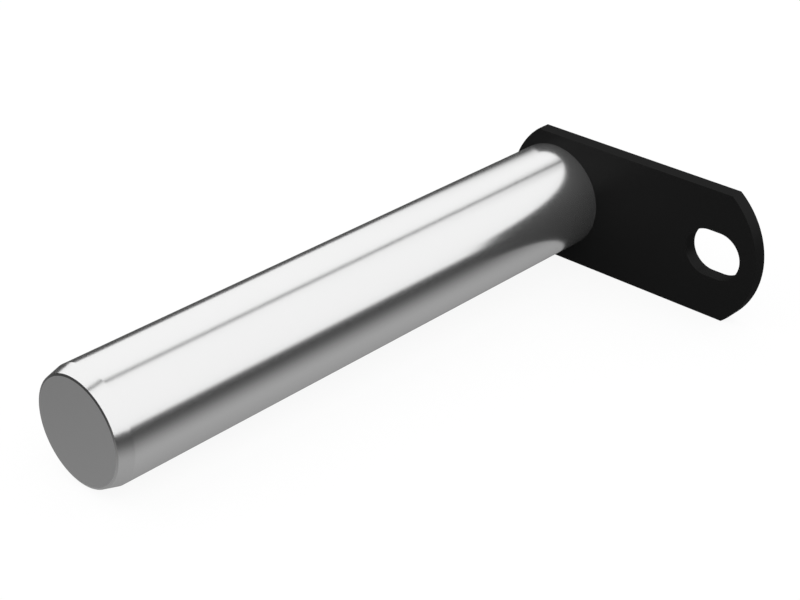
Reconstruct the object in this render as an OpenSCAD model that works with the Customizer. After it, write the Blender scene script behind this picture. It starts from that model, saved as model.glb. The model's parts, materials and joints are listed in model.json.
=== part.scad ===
// Linkage pin with a welded flag plate.
// The pin's axis lies along Y and the origin is on that axis at the plate's front face, which the
// pin's shoulder seats on. The free end points along -Y, the slot lies towards +X and +Z is up.

/* [Pin] */
// Diameter of the ground shank that turns in the linkage's bores
pin_d = 45; // [35:1:70]
// Length of the shank from the flag plate's front face to the end face
pin_len = 250; // [80:5:500]
// Length of the lead-in taper at the free end
taper_len = 6; // [2:0.5:15]
// Angle of the lead-in taper to the pin's axis
taper_angle = 15; // [5:1:30]
// Width of the chamfer that breaks the rim of the end face
rim_break_w = 0.85; // [0.1:0.05:2]
// Angle of that chamfer to the end face
rim_break_angle = 21; // [5:1:60]

/* [Spigot behind the shoulder] */
// Width of the ring-shaped shoulder that seats on the plate
shoulder_w = 7.5; // [5:0.5:11]
// Radius in the corner between the spigot and the shoulder
spigot_root_r = 0.8; // [0.2:0.1:1.5]
// How much deeper than that radius the chamfer at the mouth of the plate's hole is
root_clearance = 0.4; // [0.1:0.1:1]
// Radial play of the spigot in the plate's hole
spigot_play = 0.05; // [0.02:0.01:0.2]

/* [Flag plate] */
// Thickness of the plate
plate_t = 6; // [5:0.5:12]
// How far the plate's long edges stand out past the shank on each side
plate_margin = 5; // [1:0.5:20]
// How far the plate's near end stands out past the shank
plate_overhang = 0; // [0:0.5:20]
// How much larger the radius of the curved ends is than half the plate's width
end_r_extra = 7.5; // [1:0.5:30]
// Chamfer that breaks the plate's outer edges
plate_break = 0.1; // [0.1:0.1:1]

/* [Retaining bolt slot] */
// Distance from the pin's axis to the middle of the slot
slot_x = 80; // [60:1:150]
// Width of the slot
slot_w = 20; // [8:1:30]
// Length of the slot's straight sides, by which the plate can be adjusted
slot_travel = 5; // [1:1:20]
// Material between the slot and the plate's far end
slot_wall = 7.5; // [4:0.5:20]
// Chamfer that breaks the slot's edges
slot_break = 0.1; // [0.1:0.1:1]

/* [Weld on the rear face] */
// Depth of the V groove round the spigot that the weld fills
groove_depth = 2.5; // [1:0.5:3]
// How far the bead spreads past the groove on each side
weld_toe = 1; // [0.5:0.25:1.5]
// Height of the bead above the plate's rear face
weld_height = 1.6; // [0.8:0.1:3]
// Number of ripples that the bead has all round
weld_ripples = 40; // [24:1:60]
// Height of the step at the front of each ripple
ripple_height = 0.3; // [0.1:0.05:0.5]
// Angle round the pin by which the middle of each ripple runs ahead of its ends
ripple_sweep_angle = 14; // [4:1:24]
// Extra height where the end of the bead laps over its start
lap_height = 0.5; // [0:0.1:1]

/* [Hidden] */

$fn = 96;
steel_colour = [0.80, 0.81, 0.82];
paint_colour = [0.045, 0.045, 0.048];
weld_colour = [0.06, 0.06, 0.063];

arc_steps = 6;    // chords in the small rounding at the spigot's root
cut_over = 1;     // how far a cut runs past the faces it opens

pin_r = pin_d / 2;
end_r = pin_r - taper_len * tan(taper_angle);
rim_depth = rim_break_w * tan(rim_break_angle);
rim_r = end_r + rim_depth * tan(taper_angle);
spigot_r = pin_r - shoulder_w;

hole_r = spigot_r + spigot_play;
hole_lead = spigot_root_r + root_clearance;
plate_w = pin_d + 2 * plate_margin;
plate_end_r = plate_w / 2 + end_r_extra;
plate_near_x = -(pin_r + plate_overhang);
slot_end_x = slot_x + slot_travel / 2 + slot_w / 2;
plate_far_x = slot_end_x + slot_wall;

bead_in_r = spigot_r - groove_depth - weld_toe;
bead_out_r = hole_r + groove_depth + weld_toe;
bead_mid_r = (bead_in_r + bead_out_r) / 2;
bead_half_w = (bead_out_r - bead_in_r) / 2;
bead_strips = 8;                     // strips of faces across the bead
ripple_phases = [0, 0.45, 0.88];     // places within one ripple, which rises and then drops at its front
lap_angle = 250;                     // direction of the lap, seen along the pin
lap_half_angle = 9;                  // half the angle that the lap covers

// Points of an arc from angle a0 to angle a1
function arc(centre, r, a0, a1) = [
    for (i = [0:arc_steps])
        let (a = a0 + (a1 - a0) * i / arc_steps)
        centre + r * [cos(a), sin(a)]
];

// Turns what is drawn upwards along Z so that it points along the pin, towards -Y
module along_pin() {
    rotate([90, 0, 0]) children();
}

// Draws a section in the plane across the plate and carries it along X from x0 to x1
module along_plate(x0, x1) {
    translate([x0, 0, 0]) rotate([90, 0, 90]) linear_extrude(x1 - x0) children();
}

// Half of the pin's section: the spigot below zero, the shank with its taper above
module pin_section() {
    polygon(concat(
        [[0, -plate_t], [spigot_r - groove_depth, -plate_t], [spigot_r, -plate_t + groove_depth]],
        arc([spigot_r + spigot_root_r, -spigot_root_r], spigot_root_r, 180, 90),
        [[pin_r, 0], [pin_r, pin_len - taper_len], [rim_r, pin_len - rim_depth],
            [rim_r - rim_break_w, pin_len], [0, pin_len]]
    ));
}

// Turned and ground pin
module pin() {
    color(steel_colour) along_pin() rotate_extrude() pin_section();
}

// One rounded end of the plate as a whole disc with broken edges
module plate_end_disc() {
    r = plate_end_r;
    c = plate_break;
    rotate_extrude() polygon([[0, -plate_t], [r - c, -plate_t], [r, c - plate_t], [r, -c], [r - c, 0], [0, 0]]);
}

// Outline of the plate: a bar with two parallel edges, cut at each end by a large arc
module plate_blank() {
    h = plate_w / 2;
    c = plate_break;
    near_centre = plate_near_x + plate_end_r;
    far_centre = plate_far_x - plate_end_r;
    intersection() {
        along_plate(plate_near_x - cut_over, plate_far_x + cut_over)
            polygon([[c - h, -plate_t], [h - c, -plate_t], [h, c - plate_t], [h, -c], [h - c, 0],
                [c - h, 0], [-h, -c], [-h, c - plate_t]]);
        union() {
            translate([near_centre, 0, 0]) plate_end_disc();
            translate([far_centre, 0, 0]) plate_end_disc();
            translate([near_centre, -h - c, -plate_t]) cube([far_centre - near_centre, 2 * (h + c), plate_t]);
        }
    }
}

// Hole for the spigot, with a lead chamfer in front and the weld's groove behind
module spigot_hole() {
    rotate_extrude() polygon([
        [0, cut_over], [hole_r + hole_lead + cut_over, cut_over], [hole_r, -hole_lead],
        [hole_r, groove_depth - plate_t], [hole_r + groove_depth + cut_over, -plate_t - cut_over],
        [0, -plate_t - cut_over]
    ]);
}

// Half of the slot's section, from its middle out to its wall, with both edges broken
function slot_half_section(r) = [
    [r + slot_break + cut_over, cut_over], [r, -slot_break],
    [r, slot_break - plate_t], [r + slot_break + cut_over, -plate_t - cut_over]
];

// Slot with round ends, cut through the plate
module bolt_slot() {
    half = slot_half_section(slot_w / 2);
    for (side = [-1, 1])
        translate([slot_x + side * slot_travel / 2, 0, 0])
            rotate_extrude() polygon(concat([[0, cut_over]], half, [[0, -plate_t - cut_over]]));
    along_plate(slot_x - slot_travel / 2, slot_x + slot_travel / 2)
        polygon(concat(half, [for (i = [3:-1:0]) [-half[i][0], half[i][1]]]));
}

// Flag plate that stops the pin from turning and sliding
module flag_plate() {
    color(paint_colour) along_pin() difference() {
        plate_blank();
        spigot_hole();
        bolt_slot();
    }
}

// Root of the weld, which fills the groove between the spigot's chamfer and the plate's
module weld_root() {
    rotate_extrude() polygon([
        [spigot_r - groove_depth, -plate_t], [spigot_r, groove_depth - plate_t],
        [hole_r, groove_depth - plate_t], [hole_r + groove_depth, -plate_t]
    ]);
}

// Height of the bead at angle a, at the place v across it from -1 to 1, for a phase p of the ripple
function bead_height(a, v, p) =
    pow(1 - v * v, 0.7) * (weld_height - ripple_height + ripple_height * p
        + lap_height * exp(-pow((a - lap_angle) / lap_half_angle, 2)));

// One point on the bead: ripple i, phase p within it, place v across the bead
function bead_point(i, p, v) =
    let (
        a = (i + p) * 360 / weld_ripples - ripple_sweep_angle * v * v,
        r = bead_mid_r + v * bead_half_w
    )
    [r * cos(a), r * sin(a), -plate_t - bead_height(a, v, p)];

// Crown of the weld: a rounded ring of crescent ripples that starts and ends in one lap
module weld_crown() {
    rows = [for (i = [0:weld_ripples - 1], p = ripple_phases) [i, p]];
    n = len(rows);
    m = bead_strips + 1;
    points = [for (row = rows, j = [0:bead_strips]) bead_point(row[0], row[1], 2 * j / bead_strips - 1)];
    top = [
        for (k = [0:n - 1], j = [0:bead_strips - 1])
            let (next = (k + 1) % n)
            [k * m + j, k * m + j + 1, next * m + j + 1, next * m + j]
    ];
    underside = [
        for (k = [0:n - 1])
            let (next = (k + 1) % n)
            [k * m, next * m, next * m + bead_strips, k * m + bead_strips]
    ];
    polyhedron(points, concat(top, underside), convexity = 6);
}

// Weld bead that joins the spigot's end to the plate's rear face
module weld_bead() {
    color(weld_colour) along_pin() union() {
        weld_root();
        weld_crown();
    }
}

pin();
flag_plate();
weld_bead();
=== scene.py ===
"""Looks of the linkage pin: a bright ground pin, its black flag plate and the painted weld that joins them.

Every length is in metres. The pin's axis is Y with the free end at -Y, the origin lies in the plate's front
face, the slot is at +X and +Z is up. In the functions below a section is a list of points (r, s): r is the
distance from an axis along Y, and s the distance from the plate's front face towards the free end, so y = -s.
"""

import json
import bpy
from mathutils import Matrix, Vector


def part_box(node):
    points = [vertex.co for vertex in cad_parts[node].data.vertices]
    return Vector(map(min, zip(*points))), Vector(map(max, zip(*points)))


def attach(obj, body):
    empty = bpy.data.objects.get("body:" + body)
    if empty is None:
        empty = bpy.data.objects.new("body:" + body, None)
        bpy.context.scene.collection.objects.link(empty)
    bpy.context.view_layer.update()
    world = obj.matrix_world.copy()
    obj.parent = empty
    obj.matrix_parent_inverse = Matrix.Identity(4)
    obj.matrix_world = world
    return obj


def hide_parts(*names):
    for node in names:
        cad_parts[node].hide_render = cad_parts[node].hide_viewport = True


bl_info = {
    "name": "Linkage pin",
    "version": (1, 0, 0),
    "blender": (4, 5, 0),
    "location": "View3D > Sidebar > Linkage pin",
    "description": "Ground pin with a welded flag plate, and the studio it is shown in",
    "category": "Add Mesh",
}

import bmesh
import bpy
import numpy as np
from bpy.props import FloatProperty, FloatVectorProperty, IntProperty, PointerProperty
from mathutils import Matrix

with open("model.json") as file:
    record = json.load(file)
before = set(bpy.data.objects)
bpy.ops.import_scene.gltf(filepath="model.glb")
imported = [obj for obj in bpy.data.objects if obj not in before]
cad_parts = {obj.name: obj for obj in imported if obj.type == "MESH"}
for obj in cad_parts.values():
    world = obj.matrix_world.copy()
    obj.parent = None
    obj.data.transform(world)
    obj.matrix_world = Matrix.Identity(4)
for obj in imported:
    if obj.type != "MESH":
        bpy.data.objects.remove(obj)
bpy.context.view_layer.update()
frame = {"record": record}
PIN_LOW, PIN_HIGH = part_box("pin")
PLATE_LOW, PLATE_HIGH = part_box("flag_plate")
MOUNTS = {mount["name"]: mount for mount in frame["record"]["mounts"]}
BOLT_SLOT = MOUNTS["retaining_bolt_slot"]

MM = 0.001

# Distance at which points meet, and the least slant of a ray, so that it meets a line along X somewhere
MERGE_DISTANCE = 1e-6
LEAST_SLANT = 1e-9

# Fineness of the meshes
PIN_SIDES = 360
ROOT_STEPS = 8
PLATE_ARC_STEPS = 96
PLATE_BAR_STEPS = 48
FACE_ROWS = 4
WELD_STRIPS = 28
RIPPLE_ROWS = 12
FLOOR_RINGS = 8
FLOOR_SIDES = 96
BACKDROP_RINGS = 32
BACKDROP_SIDES = 64

# Form of the weld: the power that rounds its section, and the phase from which a ripple drops
CROWN_POWER = 0.7
RIPPLE_CREST = 0.8

# Grain of the finishes: waves to the metre along X, Y and Z, heights in metres and spreads of roughness
PEEL_WAVES = (700, 700, 700)
PEEL_HEIGHT = 4e-6
CLOUD_WAVES = (45, 45, 45)
CLOUD_SPREAD = 0.08
GRIND_WAVES = (60, 3200, 60)
RING_WAVES = (2600, 2600, 2600)
MARK_HEIGHT = 0.5e-6
MARK_SPREAD = 0.05

# Light of the studio: where a zone starts and where it is full, in the direction's parts along X, Y or Z
SKY_ZONE = (0.072, 0.1)
FAR_LEFT_DELAY = 0.45
FAR_ZONE = (0.64, 0.74)
LEFT_ZONE = (0.1, 0.4)
FAR_GAP_ZONE = (0.71, 0.74)
LOWER_ZONE = (0.12, 0.75)

# Gap between the overhead lights, in turns about Y: its middle, its edges and the shade beside its far end
GAP_TURN = np.radians(5.45)
GAP_EDGES = (np.radians(2.05), np.radians(3.45))
GAP_SHADE = np.radians(22)

# Stage and camera: metres, but millimetres for the sensor
FLOOR_RADIUS = 4.0
BACKDROP_RADIUS = 6.0
SENSOR_WIDTH = 36.0
NEAREST_SEEN = 0.01
FURTHEST_SEEN = 50.0


# Sizes and colours

class PinSizes(bpy.types.PropertyGroup):
    """Sizes of the pin and of its spigot in the plate."""

    radius: FloatProperty(
        name="Shank radius", description="Radius of the ground shank",
        default=PIN_HIGH.x, min=0.01, unit="LENGTH")
    length: FloatProperty(
        name="Length", description="From the plate's front face to the end face",
        default=-PIN_LOW.y, min=0.05, unit="LENGTH")
    taper_length: FloatProperty(
        name="Taper length", description="Length of the lead-in taper at the free end",
        default=6 * MM, min=0.001, unit="LENGTH")
    taper_angle: FloatProperty(
        name="Taper angle", description="Angle of the lead-in taper to the pin's axis",
        default=np.radians(15), min=0.0, max=1.0, unit="ROTATION")
    rim_width: FloatProperty(
        name="Rim width", description="Width of the chamfer that breaks the rim of the end face",
        default=0.85 * MM, min=0.0001, unit="LENGTH")
    rim_angle: FloatProperty(
        name="Rim angle", description="Angle of that chamfer to the end face",
        default=np.radians(21), min=0.0, max=1.0, unit="ROTATION")
    spigot_radius: FloatProperty(
        name="Spigot radius", description="Radius of the spigot that goes through the plate",
        default=15 * MM, min=0.005, unit="LENGTH")
    root_radius: FloatProperty(
        name="Root radius", description="Radius in the corner between spigot and shoulder",
        default=0.8 * MM, min=0.0001, unit="LENGTH")


class PlateSizes(bpy.types.PropertyGroup):
    """Sizes of the flag plate and of its two openings."""

    thickness: FloatProperty(
        name="Thickness", description="Thickness of the plate",
        default=PLATE_HIGH.y, min=0.001, unit="LENGTH")
    half_width: FloatProperty(
        name="Half width", description="Half the width across the two straight edges",
        default=PLATE_HIGH.z, min=0.01, unit="LENGTH")
    near_x: FloatProperty(
        name="Near end", description="Where the end beside the pin lies",
        default=PLATE_LOW.x, unit="LENGTH")
    far_x: FloatProperty(
        name="Far end", description="Where the end beyond the slot lies",
        default=PLATE_HIGH.x, unit="LENGTH")
    end_radius: FloatProperty(
        name="End radius", description="Radius of the two curved ends",
        default=35 * MM, min=0.01, unit="LENGTH")
    edge_break: FloatProperty(
        name="Edge break", description="Chamfer that breaks every edge",
        default=0.1 * MM, min=0.0001, unit="LENGTH")
    hole_radius: FloatProperty(
        name="Hole radius", description="Radius of the hole for the spigot",
        default=15.05 * MM, min=0.005, unit="LENGTH")
    hole_lead: FloatProperty(
        name="Hole lead", description="Chamfer at the front of that hole",
        default=1.2 * MM, min=0.0001, unit="LENGTH")
    groove_depth: FloatProperty(
        name="Groove depth", description="Depth of the groove that the weld fills",
        default=2.5 * MM, min=0.0001, unit="LENGTH")
    slot_x: FloatProperty(
        name="Slot distance", description="From the pin's axis to the middle of the slot",
        default=BOLT_SLOT["pos_m"][0], unit="LENGTH")
    slot_radius: FloatProperty(
        name="Slot radius", description="Half the width of the retaining bolt's slot",
        default=BOLT_SLOT["dims"]["hole_r_mm"] * MM, min=0.001, unit="LENGTH")
    slot_length: FloatProperty(
        name="Slot length", description="Whole length of the retaining bolt's slot",
        default=BOLT_SLOT["dims"]["slot_length_mm"] * MM, min=0.002, unit="LENGTH")


class WeldSizes(bpy.types.PropertyGroup):
    """Sizes of the weld bead round the spigot's end."""

    toe: FloatProperty(
        name="Toe", description="How far the bead spreads past its groove on each side",
        default=1 * MM, min=0.0, unit="LENGTH")
    height: FloatProperty(
        name="Height", description="Height of the bead above the plate's rear face",
        default=1.6 * MM, min=0.0001, unit="LENGTH")
    ripples: IntProperty(
        name="Ripples", description="Number of ripples all round", default=40, min=8)
    ripple_height: FloatProperty(
        name="Ripple height", description="Height of the step at the front of each ripple",
        default=0.3 * MM, min=0.0, unit="LENGTH")
    sweep: FloatProperty(
        name="Ripple sweep", description="Angle by which a ripple's middle runs ahead of its ends",
        default=np.radians(14), unit="ROTATION")
    lap_height: FloatProperty(
        name="Lap height", description="Extra height where the bead's end laps over its start",
        default=0.5 * MM, min=0.0, unit="LENGTH")
    lap_angle: FloatProperty(
        name="Lap angle", description="Direction of the lap round the pin",
        default=np.radians(250), unit="ROTATION")
    lap_half_angle: FloatProperty(
        name="Lap half angle", description="Half the angle that the lap covers",
        default=np.radians(9), min=0.01, unit="ROTATION")


class SteelFinish(bpy.types.PropertyGroup):
    """Bright steel of the pin."""

    colour: FloatVectorProperty(
        name="Colour", description="Colour of the bare steel",
        default=(0.9, 0.9, 0.9), min=0.0, max=1.0, subtype="COLOR", size=3)
    metallic: FloatProperty(
        name="Metallic", description="Share of the light that the ground surface mirrors as metal",
        default=0.905, min=0.0, max=1.0, subtype="FACTOR")
    ground_roughness: FloatProperty(
        name="Ground roughness", description="Roughness of the ground shank",
        default=0.19, min=0.0, max=1.0, subtype="FACTOR")
    faced_roughness: FloatProperty(
        name="Faced roughness", description="Roughness of the end face, which is faced on a lathe",
        default=0.3, min=0.0, max=1.0, subtype="FACTOR")
    rim_roughness: FloatProperty(
        name="Rim roughness", description="Roughness of the chamfered rim, which is cut last and bright",
        default=0.1, min=0.0, max=1.0, subtype="FACTOR")


class PaintFinish(bpy.types.PropertyGroup):
    """Satin black paint of the plate and of the weld."""

    colour: FloatVectorProperty(
        name="Colour", description="Colour of the paint",
        default=(0.0228, 0.0228, 0.0228), min=0.0, max=1.0, subtype="COLOR", size=3)
    sheen: FloatProperty(
        name="Sheen", description="Share of the light that the paint mirrors, the rest is scattered",
        default=0.38, min=0.0, max=1.0, subtype="FACTOR")
    edge_sheen: FloatProperty(
        name="Edge sheen", description="Strength of the mirror reflections at low angles",
        default=0.47, min=0.0, max=1.0, subtype="FACTOR")
    roughness: FloatProperty(
        name="Roughness", description="Roughness of the paint",
        default=0.38, min=0.0, max=1.0, subtype="FACTOR")
    gloss: FloatProperty(
        name="Gloss", description="Clear gloss of the coat on the plate",
        default=0.0, min=0.0, max=1.0, subtype="FACTOR")
    weld_gloss: FloatProperty(
        name="Weld gloss", description="Clear gloss of the thicker coat on the weld and the spigot's end",
        default=0.6, min=0.0, max=1.0, subtype="FACTOR")
    weld_roughness: FloatProperty(
        name="Weld roughness", description="Roughness of the paint on the weld and the spigot's end",
        default=0.3, min=0.0, max=1.0, subtype="FACTOR")


class StudioSettings(bpy.types.PropertyGroup):
    """The studio round the part: a white overhead light, a dark horizon and a grey lower half."""

    focal_length: FloatProperty(
        name="Focal length", description="Focal length of the camera in millimetres",
        default=80.138, min=1.0)
    camera_azimuth: FloatProperty(
        name="Camera azimuth", description="Direction of the camera round the part, from -Y towards +X",
        default=np.radians(43.157), unit="ROTATION")
    camera_elevation: FloatProperty(
        name="Camera elevation", description="Angle by which the camera looks down",
        default=np.radians(28.831), unit="ROTATION")
    camera_place: FloatVectorProperty(
        name="Camera place", description="Where the camera stands",
        default=(0.41577, -0.53753, 0.32185), subtype="TRANSLATION", size=3, unit="LENGTH")
    horizon_tilts: FloatVectorProperty(
        name="Horizon tilts", description="How much lower the white starts towards +X and towards +Y",
        default=(0.017, 0.045), min=0.0, max=1.0, size=2)
    lower_light: FloatProperty(
        name="Lower brightness", description="Brightness of the studio straight below the part",
        default=0.302, min=0.0, max=1.0)
    lower_slopes: FloatVectorProperty(
        name="Lower slopes",
        description="Shares by which the lower half gets brighter towards +X, +Y and both together",
        default=(0.115, 0.22, 0.365), min=0.0, max=1.0, size=3)
    far_dimming: FloatProperty(
        name="Far dimming", description="How much the overhead lights dim beside their gap at their far end",
        default=0.9, min=0.0, max=1.0, subtype="FACTOR")
    floor_colour: FloatVectorProperty(
        name="Floor colour", description="Colour of the floor, which the overhead light brings out",
        default=(0.12, 0.12, 0.12), min=0.0, max=1.0, subtype="COLOR", size=3)
    floor_glow: FloatProperty(
        name="Floor glow", description="The floor's own brightness, which keeps its shadows pale",
        default=0.9, min=0.0, max=1.0)


# Surfaces

def arc(centre, radius, start, end, steps):
    """Points of an arc: centre + radius (cos a, sin a), with the angle a from start to end in degrees."""
    a = np.radians(np.linspace(start, end, steps + 1))
    return np.stack([centre[0] + radius * np.cos(a), centre[1] + radius * np.sin(a)], axis=1)


def turned(section, steps):
    """Surface of revolution about Y: the section's point (r, s) lies at (r cos t, -s, r sin t) at turn t."""
    t = np.linspace(0, 2 * np.pi, steps, endpoint=False)
    r, s = section[:, 0, None], section[:, 1, None]
    return np.stack([r * np.cos(t), -s + 0 * t, r * np.sin(t)], axis=-1)


def lofted(loops):
    """Surface through loops that hold as many points each: a loop is a pair (points (x, z), distance s)."""
    return np.stack([np.insert(points, 1, -s, axis=1) for points, s in loops])


def filled(inner, outer, s, rows):
    """Flat face at distance s between two loops: point = inner + share (outer - inner), share from 0 to 1."""
    share = np.linspace(0, 1, rows + 1)[:, None, None]
    points = inner + share * (outer - inner)
    return np.insert(points, 1, -s, axis=2)


def grid_faces(rows, columns):
    """Quads of a grid of points that closes on itself across its columns."""
    index = np.arange(rows * columns).reshape(rows, columns)
    index = np.hstack([index, index[:, :1]])
    corners = [index[:-1, :-1], index[:-1, 1:], index[1:, 1:], index[1:, :-1]]
    return np.stack(corners, axis=-1).reshape(-1, 4)


def build_piece(name, surfaces, material, node, sharp_angle):
    """Makes one closed piece of surfaces that meet at their edges, and puts it in place of a CAD node.

    Each surface is a grid of points, rows x columns x 3, whose columns close on themselves. Points that meet
    become one, faces are turned outwards, and edges bent by more than sharp_angle degrees stay sharp.
    """
    points = np.concatenate([surface.reshape(-1, 3) for surface in surfaces])
    sizes = [surface.shape[0] * surface.shape[1] for surface in surfaces]
    starts = np.cumsum([0] + sizes[:-1])
    faces = np.concatenate([
        start + grid_faces(*surface.shape[:2]) for start, surface in zip(starts, surfaces)])
    mesh = bpy.data.meshes.new(name)
    mesh.from_pydata(points.tolist(), [], faces.tolist())
    shell = bmesh.new()
    shell.from_mesh(mesh)
    bmesh.ops.remove_doubles(shell, verts=shell.verts, dist=MERGE_DISTANCE)
    bmesh.ops.recalc_face_normals(shell, faces=shell.faces)
    shell.to_mesh(mesh)
    shell.free()
    mesh.shade_smooth()
    mesh.set_sharp_from_angle(angle=np.radians(sharp_angle))
    mesh.materials.append(material)
    piece = bpy.data.objects.new(name, mesh)
    bpy.context.scene.collection.objects.link(piece)
    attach(piece, "root")
    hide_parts(node)


def rim_corner(pin):
    """Radius of the corner where the end face's chamfered rim meets the taper, and how far it lies back."""
    depth = pin.rim_width * np.tan(pin.rim_angle)
    return pin.radius - (pin.taper_length - depth) * np.tan(pin.taper_angle), depth


def pin_section(pin, plate):
    """Half section of the pin from the middle of its rear end to the middle of its end face.

    The taper falls from the shank by the tangent of its angle, and a shallow chamfer breaks the edge between
    it and the end face.
    """
    corner, rim_depth = rim_corner(pin)
    root_centre = (pin.spigot_radius + pin.root_radius, -pin.root_radius)
    root = arc(root_centre, pin.root_radius, 180, 90, ROOT_STEPS)
    groove = plate.groove_depth
    return np.concatenate([
        [[0, -plate.thickness],
         [pin.spigot_radius - groove, -plate.thickness],
         [pin.spigot_radius, groove - plate.thickness]],
        root,
        [[pin.radius, 0], [pin.radius, pin.length - pin.taper_length],
         [corner, pin.length - rim_depth], [corner - pin.rim_width, pin.length], [0, pin.length]],
    ])


def plate_outline(plate, inset, split_x):
    """Outline of the plate, moved inwards by inset, as two loops that share the line x = split_x.

    The outline is a bar with straight edges z = +-(half_width - inset), cut at both ends by arcs of radius
    end_radius - inset. An arc meets a straight edge where its sine times its radius is the half width.
    The near loop runs round the pin's end of the plate, the far loop round the slot's end.
    """
    h = plate.half_width - inset
    r = plate.end_radius - inset
    corner = np.arcsin(h / r)
    line = np.linspace(-h, h, PLATE_BAR_STEPS + 1)
    loops = []
    for side, end_x in ((-1, plate.near_x), (1, plate.far_x)):
        centre_x = end_x - side * plate.end_radius
        a = np.linspace(-corner, corner, PLATE_ARC_STEPS + 1)
        end = np.stack([centre_x + side * r * np.cos(a), r * np.sin(a)], axis=1)
        along = np.linspace(split_x, centre_x + side * r * np.cos(corner), PLATE_BAR_STEPS + 1)
        lower = np.stack([along, np.full_like(along, -h)], axis=1)
        upper = np.stack([along, np.full_like(along, h)], axis=1)
        divide = np.stack([np.full_like(line, split_x), line], axis=1)
        rim = np.concatenate([lower[:-1], end, upper[::-1][1:]])
        loops.append((rim, divide[::-1][1:-1]))
    return loops


def slot_loop(directions, half_travel, radius, grow):
    """Outline of a round-ended slot, met by rays from its middle and then moved outwards by grow.

    A ray (dx, dz) meets a straight side at radius / |dz|, or else the end's circle of that radius. The point
    of the loop lies radius + grow from the nearest point of the slot's middle line, towards that meeting.
    """
    dx = np.abs(directions[:, 0])
    dz = np.maximum(np.abs(directions[:, 1]), LEAST_SLANT)
    reach = radius / dz
    beyond = reach * dx > half_travel
    to_circle = half_travel * dx + np.sqrt((half_travel * dx) ** 2 - half_travel ** 2 + radius ** 2)
    reach = np.where(beyond, to_circle, reach)
    hit = directions * reach[:, None]
    middle = np.stack([np.clip(hit[:, 0], -half_travel, half_travel), np.zeros(len(hit))], axis=1)
    return middle + (radius + grow) * (hit - middle) / radius


def plate_surfaces(plate):
    """Rim, openings and faces of the flag plate.

    The plate is worked out as two rings side by side, one round the spigot's hole and one round the slot.
    Each ring's loops are met by the same rays from the middle of its opening, so they match point by point.
    """
    t, c = plate.thickness, plate.edge_break
    slot_half = plate.slot_length / 2
    split_x = (plate.hole_radius + plate.groove_depth + plate.slot_x - slot_half) / 2
    half_travel = slot_half - plate.slot_radius
    whole = plate_outline(plate, 0, split_x)
    inset = plate_outline(plate, c, split_x)
    surfaces = []
    for zone, middle_x in ((0, 0.0), (1, plate.slot_x)):
        middle = np.array([middle_x, 0])
        face_loop = np.concatenate(inset[zone])
        rays = face_loop - middle
        rays = rays / np.linalg.norm(rays, axis=1)[:, None]
        if zone == 0:
            hole = [(plate.hole_radius + plate.hole_lead, 0), (plate.hole_radius, -plate.hole_lead),
                    (plate.hole_radius, plate.groove_depth - t), (plate.hole_radius + plate.groove_depth, -t)]
            opening = [(rays * r, s) for r, s in hole]
        else:
            opening = [(middle + slot_loop(rays, half_travel, plate.slot_radius, grow), s)
                       for grow, s in ((c, 0), (0, -c), (0, c - t), (c, -t))]
        surfaces.append(lofted(opening))
        surfaces.append(filled(opening[0][0], face_loop, 0, FACE_ROWS))
        surfaces.append(filled(opening[-1][0], face_loop, -t, FACE_ROWS))
    rim, inset_rim = (np.concatenate([near[0], far[0][::-1]]) for near, far in (whole, inset))
    surfaces.append(lofted([(inset_rim, 0), (rim, -c), (rim, c - t), (inset_rim, -t)]))
    return surfaces


def weld_surface(weld, pin, plate):
    """Crown and root of the weld bead as one closed ring.

    Across the bead, place v runs from -1 at the inner toe to 1 at the outer one. Round the pin, phase p runs
    from 0 to 1 within each ripple. The height is (1 - v^2)^CROWN_POWER times the bead's height, of which the
    ripple takes a part that climbs with p and drops smoothly at its front, plus a bell-shaped lap. A point
    lags by the sweep angle times v^2, so a ripple's middle runs ahead of its ends. The root follows the
    groove's two flanks.
    """
    groove = plate.groove_depth
    inner = pin.spigot_radius - groove - weld.toe
    outer = plate.hole_radius + groove + weld.toe
    v = np.sin(np.linspace(-np.pi / 2, np.pi / 2, WELD_STRIPS + 1))[:, None]
    turn = np.linspace(0, 1, weld.ripples * RIPPLE_ROWS, endpoint=False)
    p = (turn * weld.ripples) % 1
    drop = np.clip((p - RIPPLE_CREST) / (1 - RIPPLE_CREST), 0, 1)
    climb = p - drop * drop * (3 - 2 * drop)
    angle = 2 * np.pi * turn - weld.sweep * v * v
    lap = weld.lap_height * np.exp(-(((angle - weld.lap_angle) / weld.lap_half_angle) ** 2))
    crown = (1 - v * v) ** CROWN_POWER * (weld.height - weld.ripple_height * (1 - climb) + lap)
    radius = (inner + outer) / 2 + v * (outer - inner) / 2
    height = plate.thickness + crown
    root = np.array([
        [outer, plate.thickness], [plate.hole_radius + groove, plate.thickness],
        [plate.hole_radius, plate.thickness - groove], [pin.spigot_radius, plate.thickness - groove],
        [pin.spigot_radius - groove, plate.thickness], [inner, plate.thickness]])
    toe_angle = np.repeat(angle[-1:], len(root), axis=0)
    angle = np.concatenate([angle, toe_angle])
    radius = np.concatenate([radius + 0 * turn, root[:, :1] + 0 * turn])
    height = np.concatenate([height, root[:, 1:] + 0 * turn])
    return np.stack([radius * np.cos(angle), height, radius * np.sin(angle)], axis=-1)


# Shader maths

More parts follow.
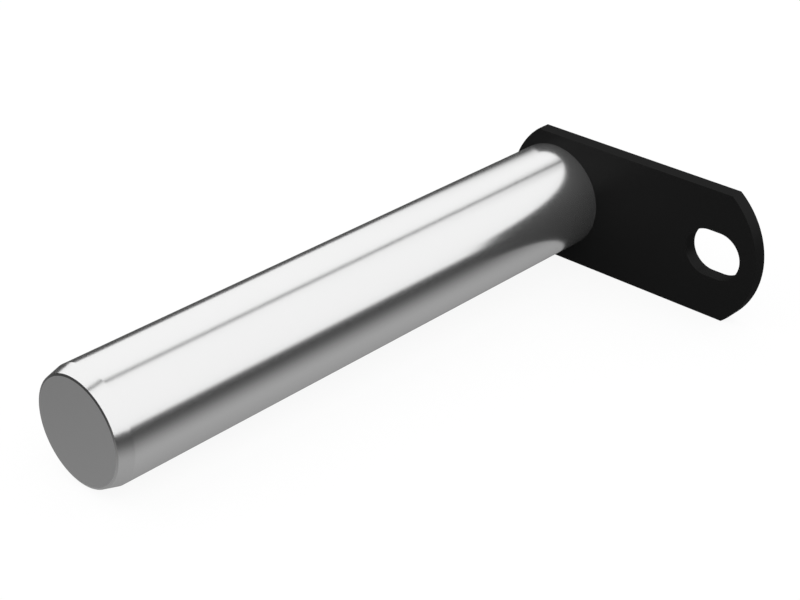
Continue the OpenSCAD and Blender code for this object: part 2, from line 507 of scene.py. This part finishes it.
class Field:
    """A number or colour that changes over a surface, held as a node's output."""

    def __init__(self, finish, socket):
        self.finish = finish
        self.socket = socket

    def math(self, operation, *others):
        """A Math node with the named operation on this value and the others."""
        return self.finish.node("ShaderNodeMath", {"operation": operation},
                                dict(enumerate((self, *others))))

    def __add__(self, other):
        return self.math("ADD", other)

    __radd__ = __add__

    def __mul__(self, other):
        return self.math("MULTIPLY", other)

    __rmul__ = __mul__

    def __sub__(self, other):
        return self.math("SUBTRACT", other)

    def __rsub__(self, other):
        return (self * -1) + other

    def step(self, low, high):
        """0 up to low and 1 from high on, with a smooth climb between them. High may be the smaller one."""
        return self.finish.node(
            "ShaderNodeMapRange", {"interpolation_type": "SMOOTHSTEP"},
            {"Value": self, "From Min": low, "From Max": high})


class Finish:
    """The node tree of a material or of the world, emptied and filled again."""

    def __init__(self, owner):
        owner.use_nodes = True
        self.tree = owner.node_tree
        self.tree.nodes.clear()

    def node(self, kind, settings=None, values=None):
        """Adds a node, makes its settings, then gives its sockets their values or links."""
        node = self.tree.nodes.new(kind)
        for name, value in (settings or {}).items():
            setattr(node, name, value)
        for name, value in (values or {}).items():
            if isinstance(value, Field):
                self.tree.links.new(value.socket, node.inputs[name])
            else:
                node.inputs[name].default_value = value
        return Field(self, node.outputs[0] if node.outputs else None)

    def place(self, kind="Object"):
        """Coordinates of a point, and its x, y and z by themselves."""
        coordinates = self.node("ShaderNodeTexCoord")
        whole = Field(self, coordinates.socket.node.outputs[kind])
        split = self.node("ShaderNodeSeparateXYZ", None, {"Vector": whole}).socket.node
        return whole, *(Field(self, output) for output in split.outputs)

    def noise(self, place, stretch, detail):
        """Noise from 0 to 1 on coordinates stretched by three factors."""
        stretched = self.node("ShaderNodeVectorMath", {"operation": "MULTIPLY"}, {0: place, 1: stretch})
        return self.node("ShaderNodeTexNoise", None,
                         {"Vector": stretched, "Scale": 1.0, "Detail": detail, "Roughness": 0.5})

    def bump(self, height, distance):
        """Normal tilted by a height from 0 to 1 that stands for this distance."""
        return self.node("ShaderNodeBump", None, {"Height": height, "Distance": distance, "Strength": 1.0})


def opaque(colour):
    """A colour with full opacity."""
    return (*colour, 1.0)


def paint_shader(finish, paint, place, gloss, roughness):
    """Satin black paint with a slightly uneven gloss and a faint orange peel, its bumps about 1.5 mm wide."""
    peel = finish.noise(place, PEEL_WAVES, detail=2.0)
    cloud = finish.noise(place, CLOUD_WAVES, detail=3.0)
    return finish.node("ShaderNodeBsdfPrincipled", None, {
        "Base Color": opaque(paint.colour),
        "Metallic": paint.sheen,
        "Specular Tint": opaque([paint.edge_sheen] * 3),
        "Specular IOR Level": gloss,
        "Roughness": cloud * CLOUD_SPREAD + (roughness - CLOUD_SPREAD / 2),
        "Normal": finish.bump(peel, PEEL_HEIGHT)})


def paint_material(name, paint, gloss, roughness):
    """Material of the painted plate or of the painted weld."""
    material = bpy.data.materials.new(name)
    finish = Finish(material)
    place = finish.place()[0]
    surface = paint_shader(finish, paint, place, gloss, roughness)
    finish.node("ShaderNodeOutputMaterial", None, {"Surface": surface})
    return material


def steel_material(name, steel, paint, pin, plate):
    """Material of the pin: ground shank, faced end with a bright rim, and a rear end painted with the weld.

    The grinding marks run round the shank, so their noise is fine along Y and slow across it. The end face
    has rings of the same kind that are fine along its radius. One look passes into the next within 0.2 mm,
    and the paint ends out of sight, at the weld's root.
    """
    blend = 0.05 * MM
    blend_end = 0.02 * MM
    paint_blend = 0.2 * MM
    material = bpy.data.materials.new(name)
    finish = Finish(material)
    place, x, y, z = finish.place()
    radius = (x * x + z * z).math("SQRT")
    corner, rim_depth = rim_corner(pin)
    rim_start = corner - pin.rim_width
    rim_y = rim_depth - pin.length
    at_end = y.step(rim_y + blend, rim_y + blend_end)
    inside_rim = radius.step(rim_start + blend, rim_start - blend)
    end_face = at_end * inside_rim
    rim = at_end - end_face
    grind = finish.noise(place, GRIND_WAVES, detail=3.0)
    rings = finish.noise(radius, RING_WAVES, detail=2.0)
    marks = grind + end_face * (rings - grind)
    faced = end_face * (steel.faced_roughness - steel.ground_roughness)
    bright = rim * (steel.rim_roughness - steel.ground_roughness)
    bare = finish.node("ShaderNodeBsdfPrincipled", None, {
        "Base Color": opaque(steel.colour),
        "Metallic": steel.metallic,
        "Roughness": faced + bright + marks * MARK_SPREAD + (steel.ground_roughness - MARK_SPREAD / 2),
        "Normal": finish.bump(marks, MARK_HEIGHT)})
    painted = paint_shader(finish, paint, place, paint.weld_gloss, paint.weld_roughness)
    groove_root = plate.thickness - plate.groove_depth
    rear = y.step(groove_root - paint_blend, groove_root)
    surface = finish.node("ShaderNodeMixShader", None, {0: rear, 1: bare, 2: painted})
    finish.node("ShaderNodeOutputMaterial", None, {"Surface": surface})
    return material


# Stage

def studio_world(studio):
    """World that lights the part and mirrors in it: its brightness in the direction (x, y, h), h upwards.

    White over the horizon, which lies slightly lower towards +X and +Y, with a narrow gap between two long
    overhead lights that lie along the pin. At their far end, towards +Y, the lights fade at the left near
    the horizon, where full brightness comes FAR_LEFT_DELAY higher up, and beside the gap. The studio is
    black just under the horizon, and grey further down, where it brightens towards +X and +Y.
    """
    world = bpy.data.worlds.new("studio")
    finish = Finish(world)
    x, y, h = finish.place("Generated")[1:]
    tilt_x, tilt_y = studio.horizon_tilts
    far_left = y.step(*FAR_ZONE) * (x * -1).step(*LEFT_ZONE)
    sky_start, sky_full = SKY_ZONE
    sky = (x * tilt_x + y * tilt_y + h).step(sky_start, far_left * FAR_LEFT_DELAY + sky_full)
    turn = x.math("ARCTAN2", h)
    from_gap = (turn + GAP_TURN).math("ABSOLUTE")
    far_gap = y.step(*FAR_GAP_ZONE) * (1 - from_gap.step(0.0, GAP_SHADE))
    overhead = sky * from_gap.step(*GAP_EDGES) * (1 - far_gap * studio.far_dimming)
    slope_x, slope_y, slope_xy = studio.lower_slopes
    below = (h * -1).step(*LOWER_ZONE) * (x * slope_x + y * slope_y + x * y * slope_xy + 1)
    light = overhead + below * studio.lower_light
    background = finish.node("ShaderNodeBackground", None, {"Color": light, "Strength": 1.0})
    finish.node("ShaderNodeOutputWorld", None, {"Surface": background})
    return world


def stage_piece(name, points, faces, material):
    """Adds a piece of the stage that only the camera sees, so it neither lights nor mirrors in the part."""
    mesh = bpy.data.meshes.new(name)
    mesh.from_pydata(points.reshape(-1, 3).tolist(), [], faces.tolist())
    mesh.materials.append(material)
    piece = bpy.data.objects.new(name, mesh)
    bpy.context.scene.collection.objects.link(piece)
    for ray in ("diffuse", "glossy", "transmission", "volume_scatter", "shadow"):
        setattr(piece, "visible_" + ray, False)


def add_floor(studio, pin, plate):
    """Round floor, tilted so that the part lies on it with the plate's lower edge and the pin's end.

    It touches the plate at (y, z) = (0, -half_width) and the pin where its taper starts, at z = -radius, and
    its height is a straight line through both. Seen from beneath it is clear.
    """
    slope = (plate.half_width - pin.radius) / (pin.taper_length - pin.length)
    radius = np.linspace(0, FLOOR_RADIUS, FLOOR_RINGS + 1)[:, None]
    t = np.linspace(0, 2 * np.pi, FLOOR_SIDES, endpoint=False)
    x = radius * np.cos(t)
    y = radius * np.sin(t)
    points = np.stack([x, y, slope * y - plate.half_width], axis=-1)
    upward = grid_faces(*points.shape[:2])[:, ::-1]
    material = bpy.data.materials.new("pale_floor")
    finish = Finish(material)
    lit = finish.node("ShaderNodeBsdfDiffuse", None, {"Color": opaque(studio.floor_colour)})
    glow = finish.node("ShaderNodeEmission", None, {"Strength": studio.floor_glow})
    surface = finish.node("ShaderNodeAddShader", None, {0: lit, 1: glow})
    clear = finish.node("ShaderNodeBsdfTransparent")
    geometry = finish.node("ShaderNodeNewGeometry").socket.node
    beneath = Field(finish, geometry.outputs["Backfacing"])
    surface = finish.node("ShaderNodeMixShader", None, {0: beneath, 1: surface, 2: clear})
    finish.node("ShaderNodeOutputMaterial", None, {"Surface": surface})
    stage_piece("floor", points, upward, material)


def add_backdrop():
    """White backdrop all round the studio: a sphere, point = radius (cos u cos t, cos u sin t, sin u)."""
    u = np.linspace(-np.pi / 2, np.pi / 2, BACKDROP_RINGS + 1)[:, None]
    t = np.linspace(0, 2 * np.pi, BACKDROP_SIDES, endpoint=False)
    direction = np.stack([np.cos(u) * np.cos(t), np.cos(u) * np.sin(t), np.sin(u) + 0 * t], axis=-1)
    material = bpy.data.materials.new("white_backdrop")
    finish = Finish(material)
    white = finish.node("ShaderNodeEmission", None, {"Strength": 1.0})
    finish.node("ShaderNodeOutputMaterial", None, {"Surface": white})
    faces = grid_faces(*direction.shape[:2])
    stage_piece("backdrop", BACKDROP_RADIUS * direction, faces, material)


def add_camera(studio):
    """Upright camera at the photograph's angle. Behind it lies (sin a cos e, -cos a cos e, sin e)."""
    a = studio.camera_azimuth
    e = studio.camera_elevation
    back = np.array([np.sin(a) * np.cos(e), -np.cos(a) * np.cos(e), np.sin(e)])
    right = np.array([np.cos(a), np.sin(a), 0.0])
    up = np.cross(back, right)
    matrix = np.eye(4)
    matrix[:3] = np.stack([right, up, back, studio.camera_place], axis=1)
    lens = bpy.data.cameras.new("camera")
    lens.lens = studio.focal_length
    lens.sensor_width = SENSOR_WIDTH
    lens.clip_start = NEAREST_SEEN
    lens.clip_end = FURTHEST_SEEN
    camera = bpy.data.objects.new("camera", lens)
    bpy.context.scene.collection.objects.link(camera)
    camera.matrix_world = Matrix(matrix.tolist())
    bpy.context.scene.camera = camera


# Operators and panel

class LINKAGE_OT_pin(bpy.types.Operator):
    """Add the ground pin with its spigot."""

    bl_idname = "linkage.pin"
    bl_label = "Pin"

    def execute(self, context):
        scene = context.scene
        pin, plate = scene.linkage_pin, scene.linkage_plate
        steel = steel_material("ground_steel", scene.linkage_steel, scene.linkage_paint, pin, plate)
        surface = turned(pin_section(pin, plate), PIN_SIDES)
        build_piece("bright_pin", [surface], steel, "pin", sharp_angle=10)
        return {"FINISHED"}


class LINKAGE_OT_plate(bpy.types.Operator):
    """Add the flag plate with its hole and slot."""

    bl_idname = "linkage.plate"
    bl_label = "Flag plate"

    def execute(self, context):
        coat = context.scene.linkage_paint
        paint = paint_material("satin_black_paint", coat, coat.gloss, coat.roughness)
        surfaces = plate_surfaces(context.scene.linkage_plate)
        build_piece("black_flag_plate", surfaces, paint, "flag_plate", sharp_angle=20)
        return {"FINISHED"}


class LINKAGE_OT_weld(bpy.types.Operator):
    """Add the weld bead round the spigot's end."""

    bl_idname = "linkage.weld"
    bl_label = "Weld bead"

    def execute(self, context):
        scene = context.scene
        coat = scene.linkage_paint
        paint = paint_material("painted_weld", coat, coat.weld_gloss, coat.weld_roughness)
        surface = weld_surface(scene.linkage_weld, scene.linkage_pin, scene.linkage_plate)
        build_piece("black_weld_bead", [surface], paint, "weld_bead", sharp_angle=40)
        return {"FINISHED"}


class LINKAGE_OT_stage(bpy.types.Operator):
    """Add the floor, the backdrop, the studio's light and the camera."""

    bl_idname = "linkage.stage"
    bl_label = "Studio"

    def execute(self, context):
        scene = context.scene
        studio = scene.linkage_studio
        scene.world = studio_world(studio)
        add_floor(studio, scene.linkage_pin, scene.linkage_plate)
        add_backdrop()
        add_camera(studio)
        scene.view_settings.view_transform = "Standard"
        return {"FINISHED"}


class LINKAGE_PT_panel(bpy.types.Panel):
    """Lists the pieces and their sizes."""

    bl_idname = "LINKAGE_PT_panel"
    bl_label = "Linkage pin"
    bl_space_type = "VIEW_3D"
    bl_region_type = "UI"
    bl_category = "Linkage pin"

    def draw(self, context):
        for operator in OPERATORS:
            self.layout.operator(operator.bl_idname)
        for name, group in GROUPS.items():
            box = self.layout.box()
            box.label(text=group.__doc__)
            for size in group.__annotations__:
                box.prop(getattr(context.scene, name), size)


OPERATORS = (LINKAGE_OT_pin, LINKAGE_OT_plate, LINKAGE_OT_weld, LINKAGE_OT_stage)
GROUPS = {
    "linkage_pin": PinSizes,
    "linkage_plate": PlateSizes,
    "linkage_weld": WeldSizes,
    "linkage_steel": SteelFinish,
    "linkage_paint": PaintFinish,
    "linkage_studio": StudioSettings,
}


def register():
    for group in (*GROUPS.values(), *OPERATORS, LINKAGE_PT_panel):
        bpy.utils.register_class(group)
    for name, group in GROUPS.items():
        setattr(bpy.types.Scene, name, PointerProperty(type=group))


def unregister():
    for name in GROUPS:
        delattr(bpy.types.Scene, name)
    for group in reversed((*GROUPS.values(), *OPERATORS, LINKAGE_PT_panel)):
        bpy.utils.unregister_class(group)


def main():
    """Builds every piece and the stage."""
    register()
    bpy.ops.linkage.pin()
    bpy.ops.linkage.plate()
    bpy.ops.linkage.weld()
    bpy.ops.linkage.stage()


if __name__ == "__main__":
    main()
